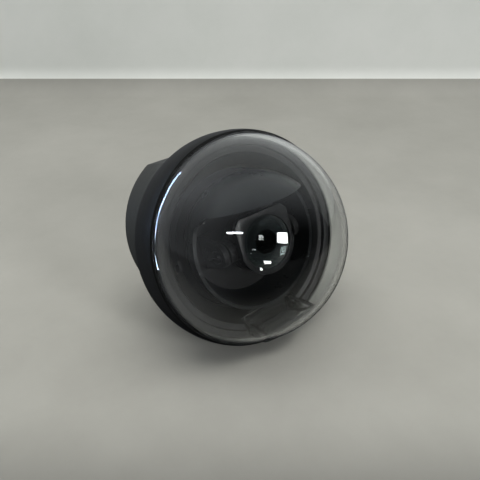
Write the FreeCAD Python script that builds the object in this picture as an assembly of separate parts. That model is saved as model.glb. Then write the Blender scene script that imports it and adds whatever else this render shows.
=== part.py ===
import FreeCAD, Part
import math
import os

# Ball-shaped dome security camera.  Millimetres, +Z from the rear mounting face towards the dome,
# origin at the centre of the rear face, the dome latch towards -Y.

# ---------------------------------------------------------------- driving dimensions
SPHERE_Z = 42.0        # height of the centre shared by the dome and the housing
DOME_R = 50.0          # outside radius of the clear dome
DOME_WALL = 2.1
RIM_Z = 52.65          # height where the dome turns into its skirt
SKIRT_R = 48.85        # outside radius of the skirt
SKIRT_Z = 46.5
BAND_BOTTOM = 32.0
BAND_TOP = 52.4
BAND_BORE = 49.2
LEDGE_TOP = 45.3
LEDGE_BOTTOM = 43.5
BAND_FLOOR = 34.3      # top of the band's own floor plate

REAR_Y = 5.5           # the rear can sits off centre, away from the latch
REAR_R_TOP = 44.3
REAR_R_LOW = 43.6
REAR_FLAT_Y = 43.9     # flat on the side opposite the latch
REAR_FILLET = 7.0
REAR_WALL = 2.5
RECESS_R = 34.0
RECESS_Z = 7.0
FLOOR_Z = 9.5

NOTCH_HALF = 12.8      # half width of the latch notch in the dome
NOTCH_WALL = 2.0
NOTCH_Y_LOW = 37.2     # distance of the notch wall from the axis, at the skirt and at the roof
NOTCH_Y_HIGH = 39.8
NOTCH_ROOF = 65.5

LATCH_HALF = 10.3
LATCH_TOP = 55.5
LATCH_PIVOT_Y = -46.9
LATCH_PIVOT_Z = 47.35
KNUCKLE_R = 1.7
EAR_INNER = 10.6        # the ears that hold the latch pin
EAR_OUTER = 12.5
PIN_R = 1.0
RUN_FIT = 0.05         # radial clearance of a turning fit

BALL_R = 32.0          # outside radius of the liner ball
BALL_Z = 55.0          # its centre, and the height of the tilt axis
BALL_WALL = 1.6
LINER_CUT_Z = 55.5
LINER_CUT_Y = 19.5
DECK_TOP = 36.3
TABLE_BOTTOM = 36.6
TABLE_TOP = 38.6
TABLE_R = 28.0
HUB_R = 11.95
ARM_X = 18.0
ARM_T = 2.5

BARREL_R = 12.0
FACE_Z = 62.5
FACE_TOP = 64.5
FACE_R = 14.5
GLASS_R = 12.0

BOARD_Z = 14.0
BOARD_T = 1.6
BOARD_R = 31.0
PLATE_T = 2.5
PLATE_R = 33.5
PLATE_PCD_R = 25.0
PLATE_HOLE_R = 2.25
STUD_ANGLES = (0, 90, 180, 270)
STUD_PCR = 26.0
BOARD_SCREW_ANGLES = (90, 190, 350)

TRIM_SCREW_X = 37.3
TRIM_SEAT_Z = 39.8      # floor of the screw wells in the trim ring
TRIM_WELL_R = 2.1

HOUSING_SCREWS = [(-34.0, 17.0), (34.0, 17.0), (-26.1, -27.6), (26.1, -27.6)]
BIG = 200.0


# ---------------------------------------------------------------- helpers
def vec(x, y, z):
    return FreeCAD.Vector(x, y, z)


def cyl(r, z0, z1, x=0.0, y=0.0):
    return Part.makeCylinder(r, z1 - z0, vec(x, y, z0))


def cyl_x(r, x0, x1, y, z):
    return Part.makeCylinder(r, x1 - x0, vec(x0, y, z), vec(1, 0, 0))


def tube(r_out, r_in, z0, z1, x=0.0, y=0.0):
    return cyl(r_out, z0, z1, x, y).cut(cyl(r_in, z0 - 1, z1 + 1, x, y))


def box(x0, x1, y0, y1, z0, z1):
    return Part.makeBox(x1 - x0, y1 - y0, z1 - z0, vec(x0, y0, z0))


def ball(r, z, x=0.0, y=0.0):
    return Part.makeSphere(r, vec(x, y, z))


def polygon_face(points):
    return Part.Face(Part.makePolygon(points + [points[0]]))


def turned(profile, x=0.0, y=0.0):
    """A ring or disc turned from (radius, height) points."""
    points = [vec(r, 0, z) for r, z in profile]
    solid = polygon_face(points).revolve(vec(0, 0, 0), vec(0, 0, 1), 360)
    solid.translate(vec(x, y, 0))
    return solid


def prism_x(half_width, profile):
    """A bar along X, |x| < half_width, from (y, z) points."""
    points = [vec(-half_width, y, z) for y, z in profile]
    return polygon_face(points).extrude(vec(2 * half_width, 0, 0))


def fuse(first, *others):
    out = first.fuse(list(others))
    return out.removeSplitter()


def polar(radius, degrees, x=0.0, y=0.0):
    angle = math.radians(degrees)
    return x + radius * math.cos(angle), y + radius * math.sin(angle)


def pan_screw(x, y, seat_z, length, shank_r, head_r, head_h):
    """Screw standing on seat_z with a domed head and a cross-free hex socket."""
    head = cyl(head_r, seat_z, seat_z + head_h, x, y)
    head = head.makeChamfer(head_h * 0.3, [head.Edges[0]])
    socket_r = head_r * 0.45
    corners = [polar(socket_r, 60 * i, x, y) for i in range(6)]
    face = polygon_face([vec(cx, cy, seat_z + head_h * 0.45) for cx, cy in corners])
    head = head.cut(face.extrude(vec(0, 0, head_h)))
    return fuse(head, cyl(shank_r, seat_z - length, seat_z, x, y))


def save(name, shape):
    os.makedirs("parts", exist_ok=True)
    solids = shape.Solids
    if not solids:
        raise ValueError("no solid in " + name)
    out = solids[0] if len(solids) == 1 else Part.makeCompound(solids)
    out.exportStep("parts/" + name + ".step")
    print(name, len(solids), round(out.Volume, 1), out.isValid())


# ---------------------------------------------------------------- clear dome and its seat
def notch_outer(z_low):
    """Space outside the clear dome, where the latch stands."""
    return prism_x(NOTCH_HALF, [(-NOTCH_Y_LOW, z_low), (-NOTCH_Y_HIGH, NOTCH_ROOF), (-70, NOTCH_ROOF), (-70, z_low)])


def notch_inner(z_low):
    """The same space grown by the wall thickness."""
    low = -NOTCH_Y_LOW + NOTCH_WALL
    high = -NOTCH_Y_HIGH + NOTCH_WALL
    top = NOTCH_ROOF + NOTCH_WALL
    return prism_x(NOTCH_HALF + NOTCH_WALL, [(low, z_low), (high, top), (-70, top), (-70, z_low)])


def dome_cover():
    cap = ball(DOME_R, SPHERE_Z).common(box(-60, 60, -60, 60, RIM_Z, 100))
    outer = fuse(cap, cyl(SKIRT_R, SKIRT_Z, RIM_Z))
    inner_cap = ball(DOME_R - DOME_WALL, SPHERE_Z).common(box(-60, 60, -60, 60, RIM_Z - 3, 100))
    inner = inner_cap.fuse(cyl(SKIRT_R - DOME_WALL, SKIRT_Z - 1, RIM_Z - 1))
    outer = outer.cut(notch_outer(SKIRT_Z - 1))
    inner = inner.cut(notch_inner(SKIRT_Z - 2))
    shell = outer.cut(inner)
    for side in (-1, 1):
        x = side * (NOTCH_HALF + 0.5)
        shell = shell.fuse(cyl(1.5, RIM_Z - 3, RIM_Z + 2.2, x, -NOTCH_Y_LOW + 0.4))
    return shell.removeSplitter()


def dome_gasket():
    z0 = LEDGE_TOP
    z1 = SKIRT_Z - 0.1
    face = -NOTCH_Y_LOW + 0.2
    back = -NOTCH_Y_LOW + NOTCH_WALL - 0.1
    outer = cyl(SKIRT_R - 0.1, z0, z1).cut(prism_x(NOTCH_HALF, [(face, 40), (face, 50), (-70, 50), (-70, 40)]))
    inner = cyl(SKIRT_R - DOME_WALL + 0.1, z0 - 1, z1 + 1)
    inner = inner.cut(prism_x(NOTCH_HALF + 1.8, [(back, 40), (back, 50), (-70, 50), (-70, 40)]))
    return outer.cut(inner)


# ---------------------------------------------------------------- housing
def housing_band():
    profile = [(49.25, BAND_BOTTOM), (50.1, 34.5), (50.7, 38.0), (51.0, 42.0), (50.9, 46.0), (50.55, 50.0),
               (50.15, 51.9), (49.75, BAND_TOP), (BAND_BORE, BAND_TOP), (BAND_BORE, LEDGE_TOP), (46.5, LEDGE_TOP),
               (46.5, LEDGE_BOTTOM), (48.0, 42.5), (48.0, BAND_FLOOR), (31.5, BAND_FLOOR), (31.5, BAND_BOTTOM)]
    band = turned(profile)
    platform = box(-15.6, 15.6, -49.0, -35.0, LEDGE_BOTTOM, LEDGE_TOP)
    platform = platform.common(cyl(48.5, 40, 50))
    ears = box(EAR_INNER, EAR_OUTER, -49.0, -44.7, LEDGE_TOP - 0.5, 49.5)
    ears = ears.fuse(box(-EAR_OUTER, -EAR_INNER, -49.0, -44.7, LEDGE_TOP - 0.5, 49.5))
    ears = ears.common(cyl(50.0, 40, 60))
    band = fuse(band, platform, ears)
    window = box(-EAR_INNER, EAR_INNER, -60, -46.2, 47.8, 60)
    band = band.cut(window)
    band = band.cut(box(-EAR_INNER, EAR_INNER, -48.95, -44.0, LEDGE_TOP, 49.0))
    band = band.cut(cyl_x(PIN_R, -12.0, 12.0, LATCH_PIVOT_Y, LATCH_PIVOT_Z))
    for x, y in HOUSING_SCREWS:
        band = band.cut(cyl(1.7, BAND_BOTTOM - 1, BAND_FLOOR + 1, x, y))
    return band


def rounded_corner(low_r, top_r, z_low, z_top, radius, start):
    """Wire points: from start along the floor, round a corner of the given radius, up to z_top."""
    lean = math.atan2(top_r - low_r, z_top - z_low)
    edge_x = low_r - radius
    centre_z = z_low + radius
    mid = math.radians(-45)
    first = vec(edge_x, 0, z_low)
    middle = vec(edge_x + radius * math.cos(mid), 0, centre_z + radius * math.sin(mid))
    last = vec(edge_x + radius * math.cos(lean), 0, centre_z - radius * math.sin(lean))
    top = vec(top_r, 0, z_top)
    return [Part.makeLine(vec(start, 0, z_low), first), Part.Arc(first, middle, last).toShape(),
            Part.makeLine(last, top), Part.makeLine(top, vec(start, 0, z_top)),
            Part.makeLine(vec(start, 0, z_top), vec(start, 0, z_low))]


def rear_blank(shrink, z_low, radius):
    """The rear can's outline, shrunk by a wall, from z_low up to the band."""
    low = REAR_R_LOW - shrink
    top = REAR_R_TOP - shrink
    edges = rounded_corner(low, top, z_low, BAND_BOTTOM, radius, 0.0)
    body = Part.Face(Part.Wire(edges)).revolve(vec(0, 0, 0), vec(0, 0, 1), 360)
    body.translate(vec(0, REAR_Y, 0))
    flat = REAR_FLAT_Y - shrink
    edges = rounded_corner(flat, flat + 0.3, z_low, BAND_BOTTOM, radius, -80.0)
    slab = Part.Face(Part.Wire(edges)).extrude(vec(0, 120, 0))
    slab.rotate(vec(0, 0, 0), vec(0, 0, 1), 90)
    slab.translate(vec(60, 0, 0))
    return body.common(slab)


def rear_housing():
    body = rear_blank(0.0, 0.0, REAR_FILLET)
    body = body.common(cyl(49.2, -1, BAND_BOTTOM))
    cavity = rear_blank(REAR_WALL, FLOOR_Z, 2.0)
    cavity = cavity.common(cyl(46.7, 0, 60))
    body = body.cut(cavity)
    body = body.cut(cyl(RECESS_R, -1, RECESS_Z, 0, REAR_Y))
    limit = rear_blank(REAR_WALL * 0.5, FLOOR_Z - 1, 1.0)
    for x, y in HOUSING_SCREWS:
        boss = cyl(3.4, FLOOR_Z - 0.5, BAND_BOTTOM, x, y).common(limit)
        body = body.fuse(boss)
    for angle in BOARD_SCREW_ANGLES:
        x, y = polar(26.0, angle, 0, REAR_Y)
        body = body.fuse(cyl(3.0, FLOOR_Z - 0.5, BOARD_Z, x, y))
    body = body.removeSplitter()
    for x, y in HOUSING_SCREWS:
        body = body.cut(cyl(1.5, 14.0, BAND_BOTTOM + 1, x, y))
    for angle in BOARD_SCREW_ANGLES:
        x, y = polar(26.0, angle, 0, REAR_Y)
        body = body.cut(cyl(1.1, 10.0, BOARD_Z + 1, x, y))
    body = body.cut(box(-8.4, 8.4, REAR_Y - 7.15, REAR_Y + 7.15, 0, FLOOR_Z + 1))
    for angle in STUD_ANGLES:
        x, y = polar(STUD_PCR, angle, 0, REAR_Y)
        body = body.cut(cyl(1.5, 0, FLOOR_Z - 0.6, x, y))
    lock = Part.makeCylinder(1.5, 14, vec(0, REAR_Y - 46, 4.2), vec(0, 1, 0))
    return body.cut(lock)


def mounting_plate():
    plate = cyl(PLATE_R, 0, PLATE_T, 0, REAR_Y)
    plate = plate.makeChamfer(0.4, [plate.Edges[0], plate.Edges[2]])
    plate = plate.cut(cyl(13.0, -1, 5, 0, REAR_Y))
    for i in range(4):
        x, y = polar(PLATE_PCD_R, 45 + 90 * i, 0, REAR_Y)
        plate = plate.cut(cyl(PLATE_HOLE_R, -1, 5, x, y))
    plate = plate.fuse(box(-4.0, 4.0, REAR_Y - PLATE_R + 0.2, REAR_Y - PLATE_R + 1.9, PLATE_T - 0.2, 6.2))
    plate = plate.removeSplitter()
    for angle in STUD_ANGLES:
        x, y = polar(STUD_PCR, angle, 0, REAR_Y)
        ex, ey = polar(STUD_PCR, angle - 16, 0, REAR_Y)
        plate = plate.cut(cyl(1.7, -1, 5, x, y))
        plate = plate.cut(cyl(3.3, -1, 1.4, x, y))
        plate = plate.cut(cyl(3.3, -1, 5, ex, ey))
        length = math.hypot(x - ex, y - ey)
        turn = math.degrees(math.atan2(y - ey, x - ex))
        for half, z1 in ((1.7, 5.0), (3.3, 1.4)):
            slot = box(0, length, -half, half, -1, z1)
            slot.rotate(vec(0, 0, 0), vec(0, 0, 1), turn)
            slot.translate(vec(ex, ey, 0))
            plate = plate.cut(slot)
    return plate


def bayonet_studs():
    studs = []
    for angle in STUD_ANGLES:
        x, y = polar(STUD_PCR, angle, 0, REAR_Y)
        head = cyl(2.9, 0.3, 1.2, x, y)
        shoulder = cyl(3.2, PLATE_T + 0.2, RECESS_Z, x, y)
        studs.append(fuse(head, cyl(1.5, 1.2, 8.6, x, y), shoulder))
    return Part.makeCompound(studs)


def lock_screw():
    y0 = REAR_Y - PLATE_R - 5.0
    body = Part.makeCylinder(1.5, 5.15, vec(0, y0, 4.2), vec(0, 1, 0))
    return body.cut(Part.makeCylinder(0.75, 2.0, vec(0, y0 - 0.1, 4.2), vec(0, 1, 0)))


def cable_seal():
    return turned([(13.6, PLATE_T + 0.1), (16.6, PLATE_T + 0.1), (16.2, 5.0), (16.6, RECESS_Z), (13.6, RECESS_Z),
                   (14.0, 5.0)], 0, REAR_Y)


# ---------------------------------------------------------------- electronics in the rear can
def main_board():
    board = cyl(BOARD_R, BOARD_Z, BOARD_Z + BOARD_T, 0, REAR_Y)
    for angle in BOARD_SCREW_ANGLES:
        x, y = polar(26.0, angle, 0, REAR_Y)
        board = board.cut(cyl(1.2, BOARD_Z - 1, BOARD_Z + 3, x, y))
    return board


def board_screws():
    screws = []
    for angle in BOARD_SCREW_ANGLES:
        x, y = polar(26.0, angle, 0, REAR_Y)
        screws.append(pan_screw(x, y, BOARD_Z + BOARD_T, 4.5, 1.05, 2.2, 1.4))
    return Part.makeCompound(screws)


def network_jack():
    z0, z1 = 4.9, BOARD_Z
    jack = box(-8.0, 8.0, REAR_Y - 6.75, REAR_Y + 6.75, z0, z1)
    port = box(-5.85, 5.85, REAR_Y - 3.2, REAR_Y + 3.8, z0 - 1, z1 - 1.2)
    tab = box(-3.1, 3.1, REAR_Y - 5.4, REAR_Y - 3.1, z0 - 1, z1 - 1.2)
    return jack.cut(port).cut(tab)


def jack_contacts():
    pins = []
    for i in range(8):
        x = -3.57 + 1.02 * i
        pins.append(box(x - 0.2, x + 0.2, REAR_Y + 3.0, REAR_Y + 3.8, 6.0, BOARD_Z - 1.2))
    return Part.makeCompound(pins)


def processor():
    return box(-7, 7, 9, 23, BOARD_Z + BOARD_T, BOARD_Z + BOARD_T + 1.2)


def thermal_pad():
    z0 = BOARD_Z + BOARD_T + 1.2
    return box(-6.5, 6.5, 9.5, 22.5, z0, z0 + 0.8)


def heat_spreader():
    z0 = BOARD_Z + BOARD_T + 2.0
    plate = box(-15, 15, 6, 26, z0, z0 + 1.6)
    for i in range(6):
        x = -13.5 + 5.4 * i
        plate = plate.fuse(box(x - 0.6, x + 0.6, 6, 26, z0 + 1.6, z0 + 5.0))
    return plate.removeSplitter()


def card_slot():
    z0 = BOARD_Z + BOARD_T
    body = box(12, 26, -14, -2.5, z0, z0 + 2.0)
    return body.cut(box(13.5, 30, -13.9 + 0.3, -2.6 - 0.3, z0 + 0.3, z0 + 1.5))


def memory_card():
    z0 = BOARD_Z + BOARD_T + 0.4
    card = box(14.0, 28.6, -13.4, -3.1, z0, z0 + 1.0)
    return card.cut(box(27.0, 30, -14, -12.4, z0 - 1, z0 + 2))


def reset_switch():
    z0 = BOARD_Z + BOARD_T
    body = box(-21, -15, -14, -8, z0, z0 + 3.4)
    return body.cut(cyl(1.8, z0 + 1.6, z0 + 5, -18, -11))


def reset_button():
    z0 = BOARD_Z + BOARD_T
    return cyl(1.7, z0 + 2.2, z0 + 4.8, -18, -11)


def link_socket():
    """Board connector for the flat lead of the lens unit."""
    z0 = BOARD_Z + BOARD_T
    body = box(-8, 8, -18, -13.5, z0, z0 + 2.4)
    return body.cut(box(-6.8, 6.8, -16.4, -15.6, z0 + 0.6, z0 + 4))


# ---------------------------------------------------------------- deck, trim and latch
def chassis_deck():
    deck = cyl(46.0, BAND_FLOOR, DECK_TOP)
    deck = deck.cut(cyl(HUB_R + RUN_FIT, BAND_FLOOR - 1, DECK_TOP + 1))
    for x, y in HOUSING_SCREWS:
        deck = deck.cut(cyl(1.7, BAND_FLOOR - 1, DECK_TOP + 1, x, y))
    for side in (-1, 1):
        deck = deck.cut(cyl(1.0, BAND_FLOOR - 1, DECK_TOP + 1, side * TRIM_SCREW_X, 0))
    return deck


def housing_screws():
    return Part.makeCompound([pan_screw(x, y, DECK_TOP, 12.0, 1.45, 2.6, 1.8) for x, y in HOUSING_SCREWS])


def trim_ring():
    profile = [(46.4, 46.5), (46.4, 52.0), (46.1, 52.3), (43.3, 51.9), (43.1, 51.6), (43.1, 50.0), (40.2, 49.4),
               (40.2, 50.9), (39.9, 51.0), (34.1, 42.2), (33.6, 41.4), (33.6, DECK_TOP), (35.0, DECK_TOP),
               (35.0, 41.0), (40.6, 47.0), (44.8, 49.0), (44.8, 46.5)]
    ring = turned(profile)
    for side in (-1, 1):
        boss = cyl(3.6, DECK_TOP, 50.0, side * TRIM_SCREW_X, 0)
        boss = boss.common(turned([(33.7, DECK_TOP), (48, DECK_TOP), (48, 51), (39.9, 49.6), (33.9, 41.4)]))
        ring = ring.fuse(boss)
    ring = ring.removeSplitter()
    for side in (-1, 1):
        ring = ring.cut(cyl(TRIM_WELL_R, TRIM_SEAT_Z, 60, side * TRIM_SCREW_X, 0))
        ring = ring.cut(cyl(1.2, DECK_TOP - 1, 60, side * TRIM_SCREW_X, 0))
    ring = ring.cut(box(-15.6, 15.6, -60, -34.8, 40.0, 60))
    return ring.Solids[0] if len(ring.Solids) == 1 else ring


def trim_screws():
    return Part.makeCompound([pan_screw(side * TRIM_SCREW_X, 0, TRIM_SEAT_Z, 4.9, 1.0, 1.8, 1.2) for side in (-1, 1)])


def dome_latch():
    profile = [(-44.2, 45.8), (-42.8, 47.5), (-42.8, 52.5), (-44.6, LATCH_TOP), (-52.0, LATCH_TOP), (-52.0, 48.9),
               (-48.0, 48.9), (-48.0, 45.8)]
    latch = prism_x(LATCH_HALF, profile)
    latch = latch.common(ball(50.9, SPHERE_Z))
    lower = box(-20, 20, -60, -47.0, 40, 48.9)
    latch = latch.cut(lower.cut(cyl_x(KNUCKLE_R, -20, 20, LATCH_PIVOT_Y, LATCH_PIVOT_Z)))
    latch = latch.fuse(cyl_x(KNUCKLE_R, -LATCH_HALF, LATCH_HALF, LATCH_PIVOT_Y, LATCH_PIVOT_Z))
    latch = latch.cut(cyl_x(PIN_R + RUN_FIT, -20, 20, LATCH_PIVOT_Y, LATCH_PIVOT_Z))
    latch = latch.cut(box(-4.0, 4.0, -50.0, -44.6, 44, 50.4))
    for i in range(3):
        z = 50.4 + 1.7 * i
        groove = tube(60, 49.9 - 0.5 * i, z, z + 0.8)
        latch = latch.cut(groove.common(box(-8.5, 8.5, -60, -40, 40, 60)))
    return latch.removeSplitter()


def latch_pin():
    return cyl_x(PIN_R, -12.0, 12.0, LATCH_PIVOT_Y, LATCH_PIVOT_Z)


def latch_spring():
    coil = Part.makeHelix(0.75, 5.25, 1.65)
    section = Part.Wire(Part.Edge(Part.Circle(vec(1.65, 0, 0), vec(0, 1, 0), 0.28)))
    wire = Part.Wire(coil.Edges).makePipeShell([section], True, True)
    wire.translate(vec(0, 0, -2.625))
    wire.rotate(vec(0, 0, 0), vec(0, 1, 0), 90)
    wire.translate(vec(0, LATCH_PIVOT_Y, LATCH_PIVOT_Z))
    return wire


# ---------------------------------------------------------------- pan and tilt
def pan_turntable():
    table = cyl(TABLE_R, TABLE_BOTTOM, TABLE_TOP)
    table = table.fuse(cyl(HUB_R, 32.0, TABLE_BOTTOM))
    table = table.cut(cyl(8.5, 30, 40))
    return table.removeSplitter()


def pan_retainer():
    ring = tube(15.0, HUB_R + 0.02, 32.0, 34.0)
    return ring.cut(box(-1.5, 1.5, 10, 20, 30, 36))


def yoke_arm(side):
    x0 = ARM_X if side > 0 else -ARM_X - ARM_T
    x1 = x0 + ARM_T
    web = Part.makePolygon([vec(x0, -8, TABLE_TOP), vec(x0, 8, TABLE_TOP), vec(x0, 5.5, BALL_Z), vec(x0, -5.5, BALL_Z),
                            vec(x0, -8, TABLE_TOP)])
    arm = Part.Face(web).extrude(vec(ARM_T, 0, 0))
    arm = arm.fuse(cyl_x(5.5, x0, x1, 0, BALL_Z))
    foot_x0 = ARM_X - 6.0 if side > 0 else -ARM_X - ARM_T
    foot = box(foot_x0, foot_x0 + 6.0 + ARM_T, -8, 8, TABLE_TOP, TABLE_TOP + 1.6)
    arm = arm.fuse(foot).removeSplitter()
    arm = arm.cut(cyl_x(1.5 + RUN_FIT, x0 - 1, x1 + 1, 0, BALL_Z))
    slot = box(x0 - 1, x1 + 1, -3.0, 3.0, 43.5, 48.5)
    return arm.cut(slot)


def friction_washers():
    parts = []
    for x0 in (-ARM_X, ARM_X - 1.0):
        washer = cyl_x(3.6, x0, x0 + 1.0, 0, BALL_Z)
        parts.append(washer.cut(cyl_x(1.6, x0 - 1, x0 + 2, 0, BALL_Z)))
    return Part.makeCompound(parts)


def liner_hood():
    shell = ball(BALL_R, BALL_Z).cut(ball(BALL_R - BALL_WALL, BALL_Z))
    shell = shell.common(box(-40, 40, -40, 40, TABLE_TOP, 100))
    y = LINER_CUT_Y
    opening = prism_x(50, [(-60, LINER_CUT_Z), (y - 7, LINER_CUT_Z), (y - 2, LINER_CUT_Z + 1.6),
                           (y, LINER_CUT_Z + 6), (y, 120), (-60, 120)])
    return shell.cut(opening)


# ---------------------------------------------------------------- camera module
def module_bracket():
    collar = tube(14.2, BARREL_R + RUN_FIT, 49.5, 54.0)
    bracket = collar
    for side in (-1, 1):
        x0 = 13.6 if side > 0 else -16.7
        ear = box(x0, x0 + 3.1, -5, 5, 49.5, BALL_Z).fuse(cyl_x(5.0, x0, x0 + 3.1, 0, BALL_Z))
        bracket = bracket.fuse(ear)
    bracket = bracket.cut(cyl(BARREL_R + RUN_FIT, 40, 54.5))
    bracket = bracket.cut(cyl(13.7, 54.3, 62))
    bracket = bracket.cut(cyl_x(1.52, -20, 20, 0, BALL_Z))
    return bracket.removeSplitter()


def tilt_pins():
    pins = []
    for side in (-1, 1):
        shank = cyl_x(1.5, 14.2, 20.8, 0, BALL_Z)
        head = cyl_x(3.0, 20.8, 22.4, 0, BALL_Z)
        head = head.cut(box(21.7, 23, -0.4, 0.4, 50, 60))
        pin = fuse(shank, head)
        if side < 0:
            pin.rotate(vec(0, 0, BALL_Z), vec(0, 0, 1), 180)
        pins.append(pin)
    return Part.makeCompound(pins)


def lens_barrel():
    barrel = turned([(9.0, 48.4), (11.6, 48.4), (BARREL_R, 48.8), (BARREL_R, FACE_Z), (9.6, FACE_Z), (9.6, 58.5),
                     (8.2, 57.0), (8.2, 51.0), (9.0, 50.5)])
    return barrel


def lens_stop_ring():
    """Snap ring that keeps the barrel in the bracket."""
    return tube(13.2, BARREL_R, 48.4, 49.2)


def focus_ring():
    ring = tube(13.4, BARREL_R + RUN_FIT, 56.0, 61.5)
    for i in range(36):
        x, y = polar(13.55, 10 * i)
        ring = ring.cut(cyl(0.45, 56.8, 60.7, x, y))
    return ring


def module_faceplate():
    plate = cyl(FACE_R, FACE_Z, FACE_TOP)
    square = box(-14.0, 14.0, -2.0, 14.3, FACE_Z, FACE_TOP)
    corner = [(-14.0, 11.4), (-11.0, 14.3), (-20, 20)]
    for side in (-1, 1):
        points = [vec(side * -x, y, FACE_Z - 1) for x, y in corner]
        square = square.cut(polygon_face(points).extrude(vec(0, 0, 5)))
    plate = plate.fuse(square).common(box(-14.3, 14.3, -20, 14.3, 0, 100)).removeSplitter()
    plate = plate.cut(cyl(10.0, FACE_Z - 1, FACE_TOP + 1))
    return plate.cut(cyl(GLASS_R, FACE_TOP - 1.0, FACE_TOP + 1))


def lens_front_glass():
    seat = FACE_TOP - 1.0
    crown = 3.0
    radius = (GLASS_R ** 2 + crown ** 2) / (2 * crown)
    dome = ball(radius, seat + 0.6 + crown - radius).common(cyl(GLASS_R - 0.05, seat + 0.6, 90))
    disc = cyl(GLASS_R - 0.05, seat, seat + 0.6)
    return fuse(disc, dome)


def lens_element(z, r, thick):
    return cyl(r, z, z + thick).common(ball(18.0, z + thick - 17.6))


def lens_group():
    return Part.makeCompound([lens_element(59.0, 9.55, 2.4), lens_element(52.0, 8.15, 2.2)])


def aperture_ring():
    return tube(9.55, 5.0, 61.8, 62.4)


def sensor_board():
    board = cyl(12.5, 46.4, 47.8).common(box(-11.2, 11.2, -20, 20, 0, 90))
    for angle in (45, 135, 225, 315):
        x, y = polar(10.4, angle)
        board = board.cut(cyl(0.8, 40, 50, x, y))
    return board


def sensor_spacer():
    spacer = tube(12.0, 7.5, 47.8, 48.4)
    for angle in (45, 135, 225, 315):
        x, y = polar(10.4, angle)
        spacer = spacer.cut(cyl(0.8, 40, 50, x, y))
    return spacer


def image_sensor():
    return box(-4.6, 4.6, -3.6, 3.6, 47.8, 49.4)


def infrared_filter():
    return box(-5.2, 5.2, -4.2, 4.2, 49.8, 50.4)


def sensor_screws():
    screws = []
    for angle in (45, 135, 225, 315):
        x, y = polar(10.4, angle)
        screw = pan_screw(x, y, 46.4, 2.0, 0.78, 1.4, 0.9)
        screw.rotate(vec(x, y, 46.4), vec(1, 0, 0), 180)
        screws.append(screw)
    return Part.makeCompound(screws)


# ---------------------------------------------------------------- write every node
NODES = {
    "dome_cover": dome_cover, "dome_gasket": dome_gasket, "housing_band": housing_band,
    "rear_housing": rear_housing, "mounting_plate": mounting_plate, "bayonet_studs": bayonet_studs,
    "lock_screw": lock_screw, "cable_seal": cable_seal, "main_board": main_board, "board_screws": board_screws,
    "network_jack": network_jack, "jack_contacts": jack_contacts, "processor": processor,
    "thermal_pad": thermal_pad, "heat_spreader": heat_spreader, "card_slot": card_slot,
    "memory_card": memory_card, "reset_switch": reset_switch, "reset_button": reset_button,
    "link_socket": link_socket, "chassis_deck": chassis_deck, "housing_screws": housing_screws,
    "trim_ring": trim_ring, "trim_screws": trim_screws, "dome_latch": dome_latch, "latch_pin": latch_pin,
    "latch_spring": latch_spring, "pan_turntable": pan_turntable, "pan_retainer": pan_retainer,
    "yoke_arm_left": lambda: yoke_arm(-1), "yoke_arm_right": lambda: yoke_arm(1),
    "friction_washers": friction_washers, "liner_hood": liner_hood, "module_bracket": module_bracket,
    "tilt_pins": tilt_pins, "lens_barrel": lens_barrel, "lens_stop_ring": lens_stop_ring,
    "focus_ring": focus_ring, "module_faceplate": module_faceplate, "lens_front_glass": lens_front_glass,
    "lens_group": lens_group, "aperture_ring": aperture_ring, "sensor_board": sensor_board,
    "sensor_spacer": sensor_spacer, "image_sensor": image_sensor, "infrared_filter": infrared_filter,
    "sensor_screws": sensor_screws,
}

for node, build in NODES.items():
    save(node, build())
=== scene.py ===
"""Ball-shaped dome security camera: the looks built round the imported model.

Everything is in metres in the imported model's frame: +Z runs from the rear mounting face to the dome,
the dome latch is towards -Y and the tilt axis runs along X.
"""

import logging
import math
from dataclasses import dataclass, field
from enum import Enum
from typing import Callable, Sequence

import bmesh
import bpy
from mathutils import Matrix, Vector


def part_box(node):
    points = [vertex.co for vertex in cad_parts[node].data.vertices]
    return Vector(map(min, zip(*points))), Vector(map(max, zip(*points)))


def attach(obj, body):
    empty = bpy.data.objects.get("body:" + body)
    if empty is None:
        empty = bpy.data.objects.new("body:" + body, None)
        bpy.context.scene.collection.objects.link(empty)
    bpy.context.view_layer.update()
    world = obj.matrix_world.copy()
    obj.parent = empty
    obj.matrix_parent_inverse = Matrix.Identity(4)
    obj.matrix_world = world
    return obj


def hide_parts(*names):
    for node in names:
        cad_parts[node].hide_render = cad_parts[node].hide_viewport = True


log = logging.getLogger("dome_camera")
MM = 0.001
MM_PER_M = 1000.0
Point = tuple[float, float]

WEAR_COLOUR = "#6B6C6C"
WORN_EDGE = (0.52, 0.62)  # pointiness where rubbing starts and where it is full
BUMP_DEPTH = 0.12  # depth of the grain as a share of its size


class Body(str, Enum):
    """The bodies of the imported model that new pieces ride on."""

    HOUSING = "housing"
    DOME = "dome"
    PAN = "pan_stage"
    MODULE = "camera_module"


class Slot(str, Enum):
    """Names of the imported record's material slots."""

    HOUSING = "black_plastic"
    TRIM = "trim_plastic"
    LINER = "liner_plastic"
    DOME = "clear_dome"
    MODULE = "module_plastic"
    GLASS = "lens_glass"


# ------------------------------------------------------------------ material helpers
def linear(hex_colour: str) -> tuple[float, float, float, float]:
    """Turns an sRGB hex colour into linear RGBA.

    Args:
        hex_colour: six hex digits, with or without a leading #.

    Returns:
        The linear colour with an alpha of 1.
    """
    digits = hex_colour.lstrip("#")
    parts = [int(digits[i : i + 2], 16) / 255 for i in (0, 2, 4)]
    lin = [c / 12.92 if c <= 0.04045 else ((c + 0.055) / 1.055) ** 2.4 for c in parts]
    return (lin[0], lin[1], lin[2], 1.0)


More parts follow.
